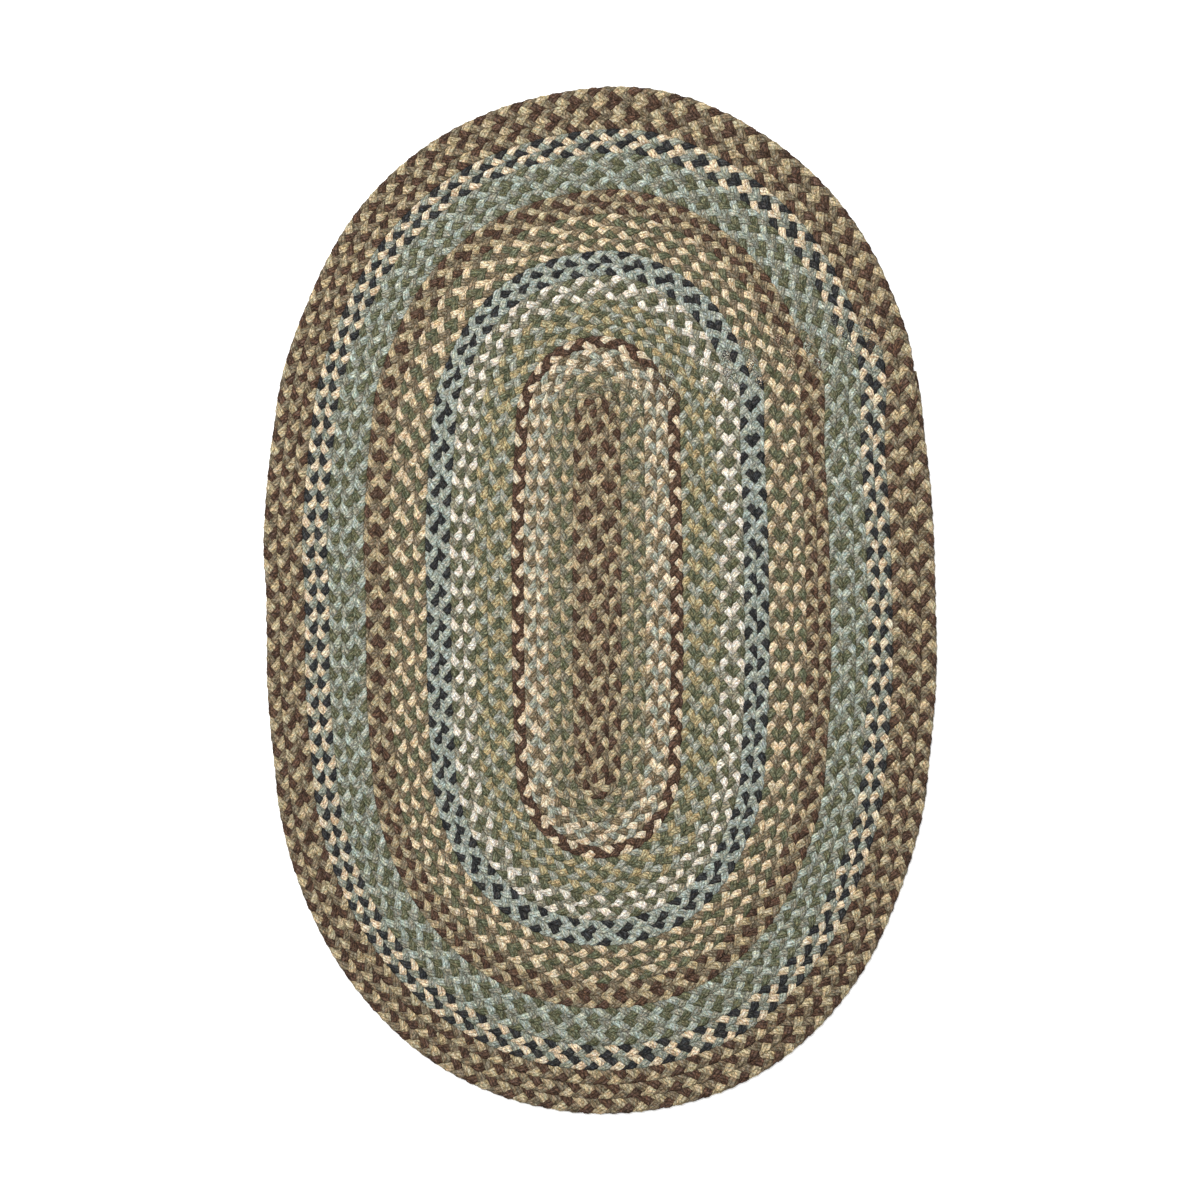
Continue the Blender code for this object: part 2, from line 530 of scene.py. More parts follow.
class Side(Enum):
    """Where a row is charted: on the rug's middle line, left or right, or on the seam's line at an end."""

    FAR = "far"
    LEFT = "left"
    NEAR = "near"
    RIGHT = "right"

    @property
    def against(self) -> float:
        """1 where the braid runs against +Y, or at the ends against +X, and -1 where it runs with it."""
        return 1.0 if self in (Side.FAR, Side.LEFT) else -1.0


@dataclass(frozen=True)
class Band:
    """Rows worked in one set of three yarns.

    The yarns are named in the order in which their lobes come along the braid. Each lift is how far a lobe
    of the first yarn, in a row's outer column, lies past the rug's middle line towards +Y, in lobe periods,
    for the rows from the rim inward. Each shift is how far one lies past the seam's line towards +X, at the
    rug's far or near end, and the rows next to the seam have none.
    """

    name: str
    yarns: tuple[Yarn, Yarn, Yarn]
    lobe_period: float  # length of braid from one lobe of a strand to its next on the same side, in metres
    left_lift: tuple[float, ...]
    right_lift: tuple[float, ...]
    far_shift: tuple[float, ...] = ()
    near_shift: tuple[float, ...] = ()

    @property
    def rows(self) -> int:
        """How many rows the band has."""
        return len(self.left_lift)

    def lobes(self, side: Side) -> tuple[float, ...]:
        """The lifts or shifts at one side or end."""
        return {
            Side.FAR: self.far_shift,
            Side.LEFT: self.left_lift,
            Side.NEAR: self.near_shift,
            Side.RIGHT: self.right_lift,
        }[side]


LOBE_PLACE = 3 / 8  # of a period past the point where a strand crosses the braid's middle outward

# From the rim inward.
BANDS = (
    Band("rim_brown", (Yarn.MAROON, Yarn.TAN, Yarn.OLIVE_BROWN), 0.0713,
         left_lift=(0.21, 0.36, 0.15), right_lift=(-0.49, -0.22, 0.30),
         far_shift=(-0.07, 0.39, -0.17), near_shift=(-0.26, -0.10, 0.12)),
    Band("navy_and_peach", (Yarn.NAVY, Yarn.SAGE, Yarn.PEACH), 0.0684,
         left_lift=(-0.23, -0.20), right_lift=(-0.31, -0.26),
         far_shift=(0.40, -0.34), near_shift=(-0.13, 0.23)),
    Band("pale_sage", (Yarn.PALE_SAGE, Yarn.GREEN, Yarn.GREY_BROWN), 0.0684,
         left_lift=(0.42, 0.40, -0.02), right_lift=(-0.18, -0.36, 0.13),
         far_shift=(0.36, -0.10, 0.23), near_shift=(-0.43, 0.09, -0.44)),
    Band("tan_and_maroon", (Yarn.MAROON, Yarn.OLIVE_BROWN, Yarn.TAN), 0.0660,
         left_lift=(0.37, -0.13), right_lift=(0.32, 0.21),
         far_shift=(0.41, 0.22), near_shift=(0.15, -0.33)),
    Band("cream_and_green", (Yarn.CREAM, Yarn.GREEN, Yarn.OLIVE_BROWN), 0.0710,
         left_lift=(-0.29, 0.07, 0.15), right_lift=(-0.19, -0.21, 0.29),
         far_shift=(0.42, 0.19, 0.18), near_shift=(-0.15, -0.37, -0.40)),
    Band("navy_and_sage", (Yarn.NAVY, Yarn.LIGHT_SAGE, Yarn.LIGHT_SAGE), 0.0640,
         left_lift=(0.49, 0.25), right_lift=(-0.18, -0.39),
         far_shift=(-0.24, -0.08), near_shift=(0.20, -0.19)),
    Band("white_and_green", (Yarn.WHITE, Yarn.GREEN, Yarn.GREY_OLIVE), 0.0643,
         left_lift=(0.31, 0.29), right_lift=(0.28, -0.38),
         far_shift=(-0.42, -0.08), near_shift=(-0.30, -0.41)),
    Band("gold_and_sage", (Yarn.GOLD, Yarn.DUSTY_SAGE, Yarn.GREEN), 0.0675,
         left_lift=(0.29, 0.47, 0.00), right_lift=(-0.13, 0.38, -0.03),
         far_shift=(0.08, -0.20, -0.17), near_shift=(-0.18, -0.01, 0.27)),
    Band("maroon_wave", (Yarn.PEACH, Yarn.MAROON, Yarn.MAROON), 0.0685,
         left_lift=(0.29,), right_lift=(-0.01,), far_shift=(0.26,), near_shift=(-0.22,)),
    Band("peach_and_sage", (Yarn.PEACH, Yarn.DUSTY_SAGE, Yarn.BROWN), 0.0663,
         left_lift=(0.18, 0.11), right_lift=(-0.46, -0.17),
         far_shift=(-0.20, 0.31), near_shift=(-0.33, 0.36)),
    Band("tan_and_green", (Yarn.TAN, Yarn.GREEN, Yarn.GREY), 0.0635,
         left_lift=(0.29, -0.48), right_lift=(0.08, -0.06), far_shift=(-0.39,), near_shift=(-0.38,)),
    Band("middle_tan", (Yarn.TAN, Yarn.MAROON, Yarn.OLIVE_BROWN), 0.0707,
         left_lift=(-0.07, 0.45), right_lift=(0.41, -0.50)),
)


def rows_by_turn() -> list[tuple[Band, int]]:
    """Each turn's band and its row there, from the seam outward."""
    return [(band, row) for band in reversed(BANDS) for row in reversed(range(band.rows))]


# ---- The coil ----


@dataclass(frozen=True)
class RimReach:
    """How far the rim lies from the seam, in metres, at even steps along each stretch of the outline.

    The far arc runs from right to left, and the outline goes on from there the same way round.
    """

    far_arc: tuple[float, ...] = (0.584, 0.570, 0.572, 0.577, 0.583, 0.570, 0.564, 0.558, 0.554)
    left_side: tuple[float, ...] = (0.576, 0.587, 0.595, 0.599, 0.594, 0.593, 0.592, 0.586)
    near_arc: tuple[float, ...] = (0.577, 0.568, 0.575, 0.590, 0.601, 0.606, 0.607, 0.594, 0.581)
    right_side: tuple[float, ...] = (0.594, 0.609, 0.608, 0.601)

    @property
    def stretches(self) -> tuple[tuple[float, ...], ...]:
        """The four stretches in their order round the outline."""
        return self.far_arc, self.left_side, self.near_arc, self.right_side


@dataclass
class CoilPath:
    """The braid's middle line, closely spaced: where it is and how wide the braid is there."""

    turn: np.ndarray  # turns made since the start
    middle: np.ndarray  # X and Y of the middle line
    width: np.ndarray
    length: np.ndarray  # along the middle line from its start

    def length_at(self, turn: np.ndarray) -> np.ndarray:
        """The length where this many turns are made."""
        return np.interp(turn, self.turn, self.length)


# The greatest value of s times the cube of 1 less s, which it has where s is a quarter.
QUARTER_PEAK = 27.0 / 256.0


@dataclass(frozen=True)
class Coil:
    """The spiral that the braid lies in: a straight seam with the rows coiled round it, as in the solid."""

    seam_x: float = -0.0058
    seam_far_y: float = 0.3444
    seam_near_y: float = -0.3180
    rows: int = 27
    mean_reach: float = 0.585
    start_share: float = 2 / 26  # how far round the far arc a turn begins
    end_taper: float = 0.26  # length over which the braid's last end narrows
    loose_rows: float = 3.0  # rows at the rim that are worked wider
    loosening: float = 0.17  # how much wider
    left_tightening: float = 0.13  # how much less of this there is on the left
    end_tightening: float = 0.013  # how much nearer the seam the rows lie round both ends, at the most
    end_level: int = 8  # power of the cosine that holds this level round most of an end
    loose_heading: float = math.radians(30.0)  # the direction from the seam in which it doesn't hold
    loose_narrowness: int = 4  # power of the cosine that keeps to that direction
    samples_a_turn: int = 1440  # of the braid's middle line
    reach: RimReach = field(default_factory=RimReach)

    @property
    def side(self) -> float:
        """Length of the seam."""
        return self.seam_far_y - self.seam_near_y

    @property
    def corners(self) -> np.ndarray:
        """Distance round the outline at which each stretch begins, and at last the whole outline."""
        arc = math.pi * self.mean_reach
        return np.cumsum([0.0, arc, self.side, arc, self.side])

    @property
    def outline(self) -> float:
        """Length once round the outline."""
        return float(self.corners[-1])

    @property
    def start(self) -> float:
        """Distance round the outline at which a turn begins."""
        return self.start_share * float(self.corners[1])

    def rim(self, distance: np.ndarray) -> np.ndarray:
        """How far the rim lies from the seam.

        A smooth cubic goes through the knots, and its slope at a knot is that of the line between the knots
        on either side.

        Args:
            distance: Distances round the outline.

        Returns:
            The reach at each.
        """
        ends = zip(self.corners[:-1], self.corners[1:], self.reach.stretches)
        places = np.concatenate([np.linspace(*pair, len(part), endpoint=False) for *pair, part in ends])
        reaches = np.concatenate(self.reach.stretches)
        round_places = np.concatenate([places[-2:] - self.outline, places, places[:2] + self.outline])
        round_reaches = np.concatenate([reaches[-2:], reaches, reaches[:2]])
        slopes = (round_reaches[2:] - round_reaches[:-2]) / (round_places[2:] - round_places[:-2])
        knots, heights = round_places[1:-1], round_reaches[1:-1]
        along = np.mod(distance, self.outline)
        index = np.searchsorted(knots, along, side="right") - 1
        gap = knots[index + 1] - knots[index]
        share = (along - knots[index]) / gap
        level = heights[index] + (heights[index + 1] - heights[index]) * smooth_step(share)
        leave = share * (1.0 - share) ** 2 * gap * slopes[index]
        arrive = share**2 * (share - 1.0) * gap * slopes[index + 1]
        return level + leave + arrive

    def across(
        self, rows: np.ndarray, rows_to_rim: np.ndarray, heading: np.ndarray, end: np.ndarray
    ) -> np.ndarray:
        """How far out this many rows reach, as a share of the way to the rim.

        The rows are even, but for those next to the rim, which are wider everywhere but on the left, and
        for the inner ones, which lie nearer the seam towards the rug's two ends. That pull goes with the
        share times the cube of 1 less the share, so it is greatest a quarter of the way out.

        Args:
            rows: Rows counted from the seam.
            rows_to_rim: Rows between the seam and the rim there.
            heading: The direction outward there, as an angle from +X.
            end: 0 at the rug's middle line and 1 round its two ends.

        Returns:
            The share, from 0 at the seam to 1 at the rim.
        """
        left = np.clip(-np.cos(heading), 0.0, 1.0) ** 2
        loose = self.loosening - self.left_tightening * left
        wide = rows + loose * np.clip(rows - (rows_to_rim - self.loose_rows), 0.0, None)
        share = wide / (rows_to_rim + loose * self.loose_rows)
        return share - self.end_tightening * end * share * (1.0 - share) ** 3 / QUARTER_PEAK

    def path(self) -> CoilPath:
        """Works out the braid's middle line.

        A turn's row lies between its inner and its outer groove. Both move outward by one row while the
        braid goes round the far arc, so that each turn ends where the next begins. How much a place counts
        as an end is half the sum of 1 less a power of the heading's cosine and the square of its height
        along the seam, apart from the loose direction.

        Returns:
            The path, from the braid's start at the seam to its end at the rim.
        """
        turn = np.linspace(0.0, self.rows, self.rows * self.samples_a_turn + 1)[:-1]
        number = np.floor(turn)
        travelled = (turn - number) * self.outline + self.start
        distance = np.mod(travelled, self.outline)
        arc = float(self.corners[1])
        on_far_arc = travelled < arc
        drift = np.where(on_far_arc, (travelled - self.start) / (arc - self.start), 1.0)
        to_end = self.outline + self.start - travelled
        ending = self.rows - 1.0 + smooth_step(to_end / self.end_taper)
        rows_to_rim = np.minimum(self.rows - 1.0 + drift, ending)

        heading = np.interp(distance, self.corners, np.pi * np.array([0.0, 1.0, 1.0, 2.0, 2.0]))
        far, near = self.seam_far_y, self.seam_near_y
        seam_y = np.interp(distance, self.corners, [far, far, near, near, far])
        inner_rows = np.where(number == 0, 0.0, number - 1.0 + drift)
        outer_rows = np.minimum(number + drift, rows_to_rim)
        rim = self.rim(distance)
        loose = np.clip(np.cos(heading - self.loose_heading), 0.0, 1.0) ** self.loose_narrowness
        end = 1.0 - np.cos(heading) ** self.end_level + (2.0 * seam_y / self.side) ** 2
        end = end / 2.0 * (1.0 - loose)
        inner = rim * self.across(inner_rows, rows_to_rim, heading, end)
        outer = rim * self.across(outer_rows, rows_to_rim, heading, end)
        out = np.stack([np.cos(heading), np.sin(heading)], axis=1)
        base = np.stack([np.full_like(seam_y, self.seam_x), seam_y], axis=1)
        middle = base + out * ((inner + outer) / 2.0)[:, None]
        return CoilPath(turn, middle, outer - inner, lengths_along(middle))

    def crossing(self, number: int, side: Side) -> float:
        """Turns made since the start when a turn comes to one of the sides or ends.

        Args:
            number: The turn, counted from 0 at the seam.
            side: The side or end.

        Returns:
            The turns made by then.
        """
        distance = {
            Side.FAR: self.corners[1] / 2.0,
            Side.LEFT: self.corners[1] + self.seam_far_y,
            Side.NEAR: (self.corners[2] + self.corners[3]) / 2.0,
            Side.RIGHT: self.corners[3] - self.seam_near_y,
        }[side]
        return number + (float(distance) - self.start) / self.outline


# ---- The braid ----


@dataclass
class Run(CoilPath):
    """The whole braid, sampled at even steps of its lobe period."""

    out: np.ndarray  # unit direction outward, square to the middle line
    period: np.ndarray  # lobe periods made


@dataclass(frozen=True)
class Braid:
    """The three strands: how they lie across the braid, in shares of its width, and over each other."""

    coil: Coil = field(default_factory=Coil)
    steps_a_period: int = 16
    sides: int = 8
    sway: float = 0.385  # how far a strand's middle goes to either side
    squareness: float = 0.07  # how long it stays at the sides before it crosses
    half_width: float = 0.335
    swell: float = 0.04  # how much wider a strand is where it lies on top, and narrower underneath
    edge_squeeze: float = 0.48  # how much narrower it is where it turns round the braid's edge
    edge_swell: float = 0.65  # and how much thicker
    edge_shortness: int = 4  # power of the sine that keeps this to the edge
    rise: float = 0.0027  # how far a strand goes up and down, in metres
    late_dive: float = 0.15  # how far it stays up, or down, until it is past the braid's middle
    half_thickness: float = 0.0025  # in metres
    section_fullness: float = 0.75  # 1 is an ellipse, and less is nearer a rounded block
    full_width: float = 0.0215  # of the braid, in metres, where its strands have their full thickness
    thinning: float = 0.7  # power of the width by which they thin where it is narrower
    least_width: float = 0.004  # of the braid, in metres, where its ends are cut
    laced_shade_lift: float = 0.45  # how far the painted crease shade is lifted next to another row, where the rows are drawn together
    laced_part: tuple[float, float] = (0.25, 0.50)  # where this begins and is full, from the braid's middle
    open_part: tuple[float, float] = (0.15, 0.40)  # likewise at the rim, where the painted crease shade is lifted since no next row makes a crease
    unevenness: float = 0.05
    change_length: float = 0.10  # in metres, over which one yarn is changed for the next one
    change_lead: float = 0.03  # how much of it comes before a turn's start
    end_crowding: float = 0.03  # lobe periods that tip the choice where two lobes are as near, at the ends
    seed: int = 27
    strands: int = 3

    def side_anchors(self, path: CoilPath) -> list[tuple[float, float]]:
        """Where the bands' chart fixes the lobes on the left and right.

        From one to the next there are as many lobe periods as the band's own comes nearest to. The whole
        periods before the first one don't matter.

        Args:
            path: The coil's path.

        Returns:
            Turns made since the start, each with the lobe periods made by then.
        """
        anchors = []
        for number, (band, row) in enumerate(rows_by_turn()):
            for side in (Side.LEFT, Side.RIGHT):
                share = (LOBE_PLACE + side.against * band.lobes(side)[row]) % 1.0
                turn = self.coil.crossing(number, side)
                if not anchors:
                    anchors.append((turn, math.ceil(turn) + share + 1.0))
                    continue
                before, made = anchors[-1]
                gone = path.length_at(turn) - path.length_at(before)
                odd = share - made
                anchors.append((turn, made + round(gone / band.lobe_period - odd) + odd))
        return anchors

    def anchors(self, path: CoilPath) -> tuple[np.ndarray, np.ndarray]:
        """Where the bands' chart fixes the lobes, all the way along the braid.

        The lobes at the two ends are those nearest to a place a little further on than where even spacing
        from side to side would put them.

        Args:
            path: The coil's path.

        Returns:
            Turns made since the start, and the lobe periods made by then, at each anchor.
        """
        anchors = self.side_anchors(path)
        turns, periods = np.array(anchors).T
        lengths = path.length_at(turns)
        for number, (band, row) in enumerate(rows_by_turn()):
            for side in (Side.FAR, Side.NEAR):
                if row < len(band.lobes(side)):
                    turn = self.coil.crossing(number, side)
                    even = np.interp(path.length_at(turn), lengths, periods) + self.end_crowding
                    odd = LOBE_PLACE + side.against * band.lobes(side)[row] - even
                    anchors.append((turn, even + (odd + 0.5) % 1.0 - 0.5))
        turns, periods = np.array(sorted(anchors)).T
        return turns, periods

    def run(self) -> Run:
        """Samples the whole braid.

        Between two anchors the lobes are evenly spaced along the middle line, and past the last anchor they
        go on at the same pace.

        Returns:
            The braid from one cut end to the other.
        """
        path = self.coil.path()
        turns, periods = self.anchors(path)
        lengths = path.length_at(turns)
        paces = np.diff(lengths) / np.diff(periods)
        held = path.width > self.least_width
        first, last = path.length[held][0], path.length[held][-1]
        lengths = np.concatenate([[first], lengths, [last]])
        periods = np.concatenate(
            [[periods[0] - (lengths[1] - first) / paces[0]], periods,
             [periods[-1] + (last - lengths[-2]) / paces[-1]]]
        )
        step = 1.0 / self.steps_a_period
        period = np.arange(math.ceil(periods[0] / step), math.floor(periods[-1] / step)) * step
        length = np.interp(period, periods, lengths)
        middle = np.stack([np.interp(length, path.length, path.middle[:, k]) for k in (0, 1)], axis=1)
        along = unit(np.gradient(middle, length, axis=0))
        out = np.stack([along[:, 1], -along[:, 0]], axis=1)
        turn, width = (np.interp(length, path.length, values) for values in (path.turn, path.width))
        return Run(turn, middle, width, length, out, period)


@dataclass
class Strand:
    """One strand of one band: its mesh, before it is dressed."""

    name: str
    order: int  # place among the band's three strands
    braid: Braid
    run: Run  # the whole braid
    keep: slice  # the part of the run that the band takes
    wobble: np.ndarray  # unevenness of the sway and of the width at each step, around 0

    @property
    def thickness(self) -> np.ndarray:
        """Thickness at each step, as a share of the full one: a power of the braid's width."""
        return np.clip(self.run.width / self.braid.full_width, 0.0, 1.0) ** self.braid.thinning

    def section(self) -> np.ndarray:
        """The strand's outline, square to its run.

        Each coordinate is the cosine or sine of an even angle, raised to the section's fullness.

        Returns:
            Points round the outline, from one narrow side, as shares of the half width and half thickness.
        """
        angle = 2.0 * np.pi * np.arange(self.braid.sides) / self.braid.sides
        wave = np.stack([np.cos(angle), np.sin(angle)], axis=1)
        return np.sign(wave) * np.abs(wave) ** self.braid.section_fullness

    def rings(self) -> tuple[np.ndarray, np.ndarray]:
        """Carries the section along the strand's way through the whole braid.

        The strand sways as the sine of its phase, with a little of the third harmonic to square it. It
        rises as the negative sine of twice its phase, less a little of the fourth harmonic, so that it goes
        over on its way in from either edge and dives late. It lies flat as it crosses. Round an edge it
        rolls over by half a turn, as a cubic of the cosine, and is narrower and thicker by a power of the
        sine. What would lie under the floor is flattened on it.

        Returns:
            The strand's middle line, and its rings of points as rings by sides by three.
        """
        braid, run, scale = self.braid, self.run, self.thickness
        phase = 2.0 * np.pi * (run.period - self.order / braid.strands)
        sway = np.sin(phase) + braid.squareness * np.sin(3.0 * phase)
        side = run.width * braid.sway * sway * (1.0 + braid.unevenness * self.wobble[:, 0])
        lift = -np.sin(2.0 * phase) - braid.late_dive * np.sin(4.0 * phase)
        height = (braid.rise + braid.half_thickness) * scale + braid.rise * scale * lift
        place = np.concatenate([run.middle + run.out * side[:, None], height[:, None]], axis=1)

        along = unit(np.gradient(place, axis=0))
        up = unit(np.array([0.0, 0.0, 1.0]) - along * along[:, 2:3])
        across = np.cross(along, up)
        crossing = np.clip(np.cos(phase) * math.sqrt(2.0), -1.0, 1.0)
        roll = np.pi / 2.0 * (1.0 - crossing * (3.0 - crossing * crossing) / 2.0)
        lean, stand = np.cos(roll)[:, None], np.sin(roll)[:, None]
        flat_way, thick_way = across * lean + up * stand, up * lean - across * stand

        edge = np.sin(phase) ** braid.edge_shortness
        spread = 1.0 + braid.swell * lift - braid.edge_squeeze * edge
        half_width = run.width * braid.half_width * spread * (1.0 + braid.unevenness * self.wobble[:, 1])
        half_thickness = braid.half_thickness * scale * (1.0 + braid.edge_swell * edge)
        outline = self.section()
        aside = flat_way[:, None, :] * (half_width[:, None] * outline[:, 0])[:, :, None]
        above = thick_way[:, None, :] * (half_thickness[:, None] * outline[:, 1])[:, :, None]
        rings = place[:, None, :] + aside + above
        rings[:, :, 2] = np.maximum(rings[:, :, 2], 0.0)
        return place, rings

    def crease_light(self, rings: np.ndarray) -> np.ndarray:
        """How much light the painted crease shade leaves at each point: more the higher it lies in the
        braid.

        It is the height as a share of the braid's thickness. Next to another row the lacing adds to it, and
        on the outer side of the last row it is full, since nothing lies beyond.

        Args:
            rings: The strand's points, all along the braid.

        Returns:
            Rings by sides, from 0 to 1.
        """
        braid, run = self.braid, self.run
        top = 2.0 * (braid.rise + braid.half_thickness) * self.thickness
        aside = ((rings[:, :, :2] - run.middle[:, None, :]) * run.out[:, None, :]).sum(axis=2)
        aside /= run.width[:, None]
        # the painted crease shade is lifted next to another row and on the rim side of the last row
        laced = braid.laced_shade_lift * ramp(np.abs(aside), *braid.laced_part)
        last_row = (run.turn > braid.coil.rows - 1.0)[:, None]
        crease_light = rings[:, :, 2] / top[:, None] + laced + last_row * ramp(aside, *braid.open_part)
        return crease_light.clip(0.0, 1.0)

    def build(self) -> bpy.types.Object:
        """Builds the band's part of the strand.

        Returns:
            The strand as a closed tube.
        """
        place, rings = self.rings()
        place, rings, crease_light = (whole[self.keep] for whole in (place, rings, self.crease_light(rings)))
        walked = lengths_along(place)
        change = np.clip(1.0 - walked / self.braid.change_length, 0.0, 1.0)
        return self.tube(rings, walked, crease_light, change)

    def tube(
        self, rings: np.ndarray, walked: np.ndarray, crease_light: np.ndarray, change: np.ndarray
    ) -> bpy.types.Object:
        """Skins rings of points as a closed tube with a capped end at each side.

        Args:
            rings: Points as rings by sides by three.
            walked: Length along the strand at each ring, for the map.
            crease_light: How much light the painted crease shade leaves at each point, from 0 to 1.
            change: How much of the yarn before is left at each ring.

        Returns:
            The new object, with the map "yarn" and the attributes "lie" and "change".
        """
        count, sides = rings.shape[:2]
        here = np.arange(count - 1)[:, None] * sides
        place = np.arange(sides)[None, :]
        beyond = (place + 1) % sides
        quads = np.stack([here + place, here + beyond, here + sides + beyond, here + sides + place], axis=2)
        first_cap = np.arange(sides)[::-1]
        last_cap = (count - 1) * sides + np.arange(sides)
        corners = np.concatenate([quads.reshape(-1), first_cap, last_cap])
        faces = (count - 1) * sides
        starts = np.concatenate([np.arange(faces) * 4, faces * 4 + np.array([0, sides])])

        mesh = bpy.data.meshes.new(self.name)
        mesh.vertices.add(count * sides)
        mesh.vertices.foreach_set("co", rings.reshape(-1))
        mesh.loops.add(len(corners))
        mesh.loops.foreach_set("vertex_index", corners)
        mesh.polygons.add(len(starts))
        mesh.polygons.foreach_set("loop_start", starts)
        mesh.polygons.foreach_set("use_smooth", np.ones(len(starts), dtype=bool))
        mesh.update(calc_edges=True)

        grid = (count - 1, sides, 4)
        around = np.broadcast_to((place[:, :, None] + np.array([0, 1, 1, 0])) / sides, grid).reshape(-1)
        low, high = walked[:-1], walked[1:]
        along = np.stack([low, low, high, high], axis=1)[:, None, :]
        along = np.broadcast_to(along, grid).reshape(-1)
        turn = np.arange(sides) / sides
        around = np.concatenate([around, turn[::-1], turn])
        along = np.concatenate([along, np.full(sides, walked[0]), np.full(sides, walked[-1])])
        uv_map = mesh.uv_layers.new(name="yarn")
        uv_map.data.foreach_set("uv", np.stack([around, along], axis=1).reshape(-1))
        # the light that the painted crease shade leaves at each point, and what is left of the yarn before
        for title, values in (("crease_light", crease_light), ("change", np.repeat(change, sides))):
            held = mesh.attributes.new(title, "FLOAT", "POINT")
            held.data.foreach_set("value", values.reshape(-1).astype(np.float32))
        piece = bpy.data.objects.new(self.name, mesh)
        bpy.context.scene.collection.objects.link(piece)
        return piece


@dataclass
class Rug:
    """The whole rug: the strands of every band, dressed and set on the frame."""

    braid: Braid = field(default_factory=Braid)
    lump_periods: float = 0.5  # length of one uneven lump
    lump_spread: float = 0.6  # the lumps' standard deviation, as a share of the braid's unevenness

    def wobble(self, run: Run) -> np.ndarray:
        """Smooth random unevenness along each strand.

        Args:
            run: The whole braid.

        Returns:
            Strands by steps by two, mostly between -1 and 1. The two are of the sway and of the width.
        """
        dice = np.random.default_rng(self.braid.seed)
        lumps = np.arange(run.period[0] - 1.0, run.period[-1] + 1.0, self.lump_periods)
        table = dice.normal(0.0, self.lump_spread, (self.braid.strands, 2, len(lumps)))
        return np.stack(
            [np.stack([np.interp(run.period, lumps, row) for row in strand], axis=1) for strand in table]
        )

    def band_slices(self, run: Run) -> list[slice]:
        """Cuts the braid into its bands.

        Args:
            run: The whole braid.

        Returns:
            The steps that each band takes, from the rim inward. Neighbours share one ring.
        """
        path = self.braid.coil.path()
        rows = np.array([band.rows for band in BANDS])
        ends = self.braid.coil.rows - np.concatenate([[0], np.cumsum(rows)])
        lengths = path.length_at(ends)
        lengths[1:-1] -= self.braid.change_lead
        steps = np.clip(np.searchsorted(run.length, lengths), 0, len(run.length) - 1)
        return [slice(low, high + 1) for high, low in zip(steps[:-1], steps[1:])]

    def build(self) -> list[bpy.types.Object]:
        """Builds and dresses every strand and sets each on the frame.

        Returns:
            The pieces.
        """
        run = self.braid.run()
        wobble = self.wobble(run)
        pieces = []
        for number, (band, keep) in enumerate(zip(BANDS, self.band_slices(run))):
            inner = BANDS[min(number + 1, len(BANDS) - 1)]
            for order in range(self.braid.strands):
                name = f"{band.name}_strand_{order + 1}"
                piece = Strand(name, order, self.braid, run, keep, wobble[order]).build()
                dress = YarnDress(band.yarns[order], inner.yarns[order])
                seed = float(number * self.braid.strands + order)
                piece.data.materials.append(dress.material(f"yarn_{name}", seed))
                self.declare(piece)
                pieces.append(piece)
        LOG.info("braid: %.2f m, %.0f lobe periods", run.length[-1] - run.length[0],
                 run.period[-1] - run.period[0])
        return pieces

    def declare(self, piece: bpy.types.Object) -> None:
        """Sets a strand on the frame and hides the imported solid; its flat size is worked out but not
        used.

        Args:
            piece: The strand.
        """
        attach(piece, BODY)
        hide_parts(NODE)
        width, length = flat_size(piece)


def flat_size(piece: bpy.types.Object) -> tuple[float, float]:
    """Half a tube's girth and its length, which are the sizes of its plies laid flat side by side.

    Args:
        piece: The tube, whose map "yarn" gives its length.

    Returns:
        The two sizes: half the surface divided by the length, and the length.
    """
    mesh = piece.data
    places = np.empty(2 * len(mesh.loops), dtype=np.float32)
    mesh.uv_layers["yarn"].data.foreach_get("uv", places)
    areas = np.empty(len(mesh.polygons), dtype=np.float32)
    mesh.polygons.foreach_get("area", areas)
    length = float(places[1::2].max())
    return float(areas.sum(dtype=float)) / 2.0 / length, length


def triangles(piece: bpy.types.Object) -> int:
    """How many triangles a mesh has."""
    return sum(len(face.vertices) - 2 for face in piece.data.polygons)


# ---- The studio ----


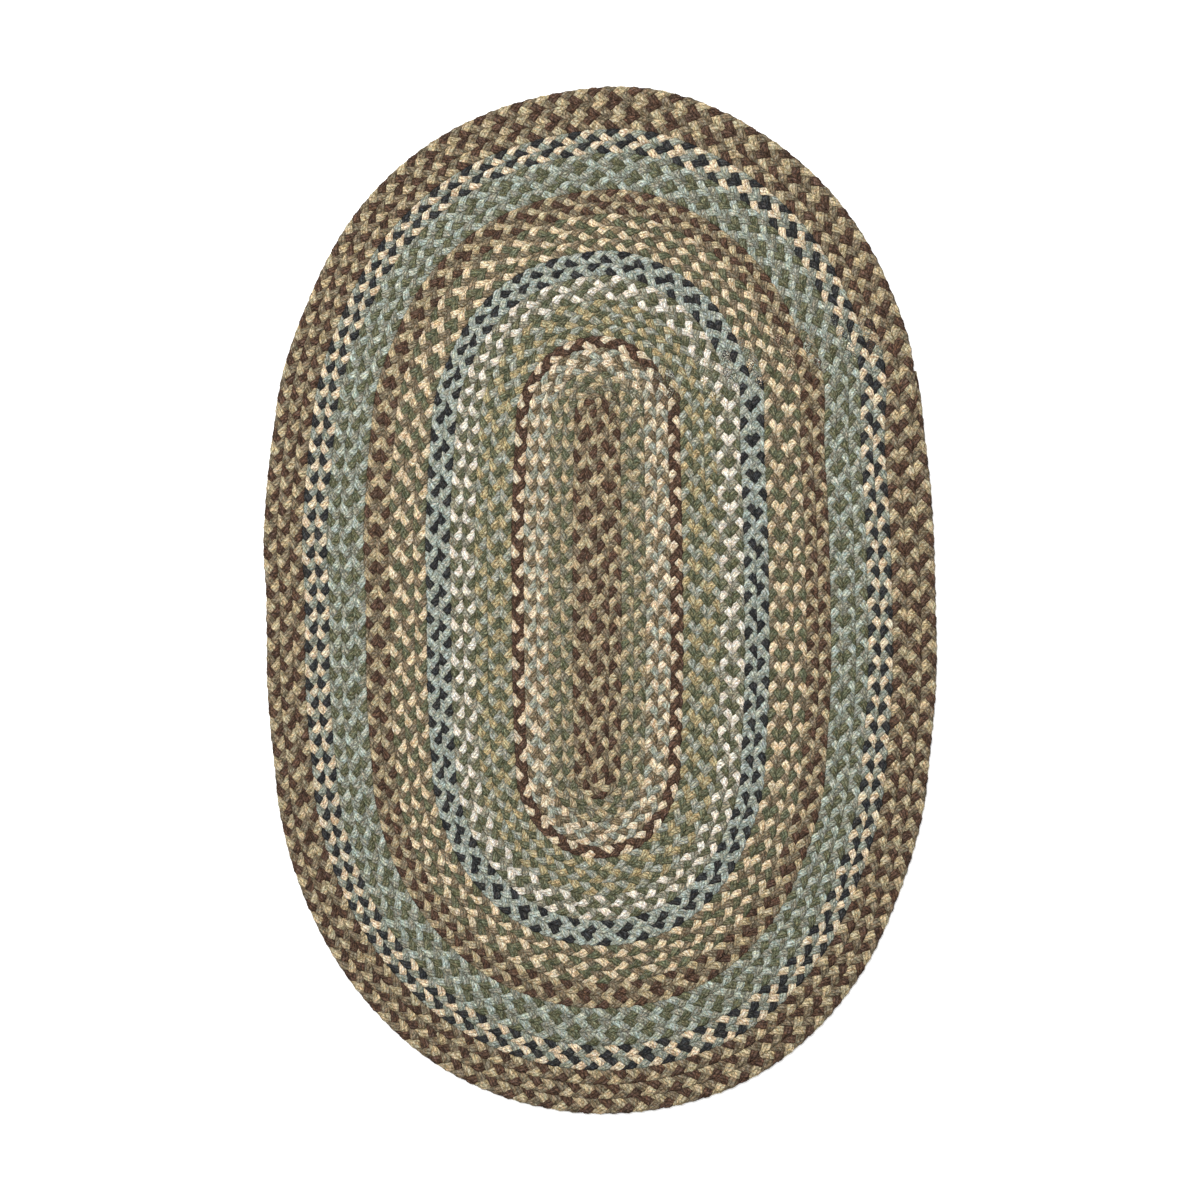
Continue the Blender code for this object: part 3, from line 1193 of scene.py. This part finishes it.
@dataclass(frozen=True)
class Studio:
    """A pale floor, soft light from above and a camera that looks straight down."""

    view_width: float = 2.16  # of floor in the picture
    aim_x: float = -0.0004  # the middle of the picture
    aim_y: float = 0.0006
    lens: float = 100.0  # mm
    sensor: float = 36.0  # mm
    floor_size: float = 60.0
    floor_drop: float = 0.0004  # under the rug
    floor_colour: Colour = (0.92, 0.92, 0.92, 1.0)
    floor_roughness: float = 0.9
    floor_glow: float = 0.30  # a back-lit sheet, on which the rug throws hardly any shadow
    lamp_size: float = 3.6
    lamp_place: tuple[float, float, float] = (-1.5, 2.0, 5.2)
    lamp_power: float = 330.0
    sky_strength: float = 0.64

    def build(self) -> None:
        """Builds the floor, the light and the camera."""
        self.build_floor()
        self.build_lights()
        self.build_camera()

    def build_floor(self) -> None:
        """A large plain sheet just under the rug."""
        half = self.floor_size / 2.0
        corners = [(-half, -half), (half, -half), (half, half), (-half, half)]
        mesh = bpy.data.meshes.new("floor")
        mesh.from_pydata([(x, y, -self.floor_drop) for x, y in corners], [], [(0, 1, 2, 3)])
        graph = Graph("floor_paint")
        graph.set_inputs(
            graph.shader,
            {
                "Base Color": self.floor_colour,
                "Roughness": self.floor_roughness,
                "Emission Color": self.floor_colour,
                "Emission Strength": self.floor_glow,
            },
        )
        mesh.materials.append(graph.material)
        floor = bpy.data.objects.new("floor", mesh)
        bpy.context.scene.collection.objects.link(floor)

    def build_lights(self) -> None:
        """One broad lamp, high up and a little to one side, turned to the rug's middle, and an even sky."""
        lamp = bpy.data.lights.new("lamp", "AREA")
        lamp.shape = "DISK"
        lamp.size = self.lamp_size
        lamp.energy = self.lamp_power
        holder = bpy.data.objects.new("lamp", lamp)
        holder.location = self.lamp_place
        x, y, z = self.lamp_place
        holder.rotation_euler = (math.atan2(math.hypot(x, y), z), 0.0, math.atan2(y, x) + math.pi / 2.0)
        bpy.context.scene.collection.objects.link(holder)
        world = bpy.data.worlds.new("sky")
        world.use_nodes = True
        background = world.node_tree.nodes["Background"]
        background.inputs["Color"].default_value = (1.0, 1.0, 1.0, 1.0)
        background.inputs["Strength"].default_value = self.sky_strength
        bpy.context.scene.world = world

    def build_camera(self) -> None:
        """A long lens high above the rug's middle."""
        camera = bpy.data.cameras.new("camera")
        camera.lens = self.lens
        camera.sensor_width = self.sensor
        holder = bpy.data.objects.new("camera", camera)
        height = self.view_width * self.lens / self.sensor
        holder.location = (self.aim_x, self.aim_y, height)
        bpy.context.scene.collection.objects.link(holder)
        bpy.context.scene.camera = holder
        bpy.context.scene.view_settings.view_transform = "Standard"


def main() -> None:
    """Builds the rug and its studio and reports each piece."""
    logging.basicConfig(level=logging.INFO, format="%(name)s: %(message)s")
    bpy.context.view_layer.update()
    pieces = Rug().build()
    for piece in pieces:
        width, length = flat_size(piece)
        LOG.info("%s: %.1f mm by %.2f m flat, %d triangles", piece.name, width * 1000.0, length,
                 triangles(piece))
    LOG.info("%d pieces, %d triangles in all", len(pieces), sum(map(triangles, pieces)))
    Studio().build()


if __name__ == "__main__":
    main()
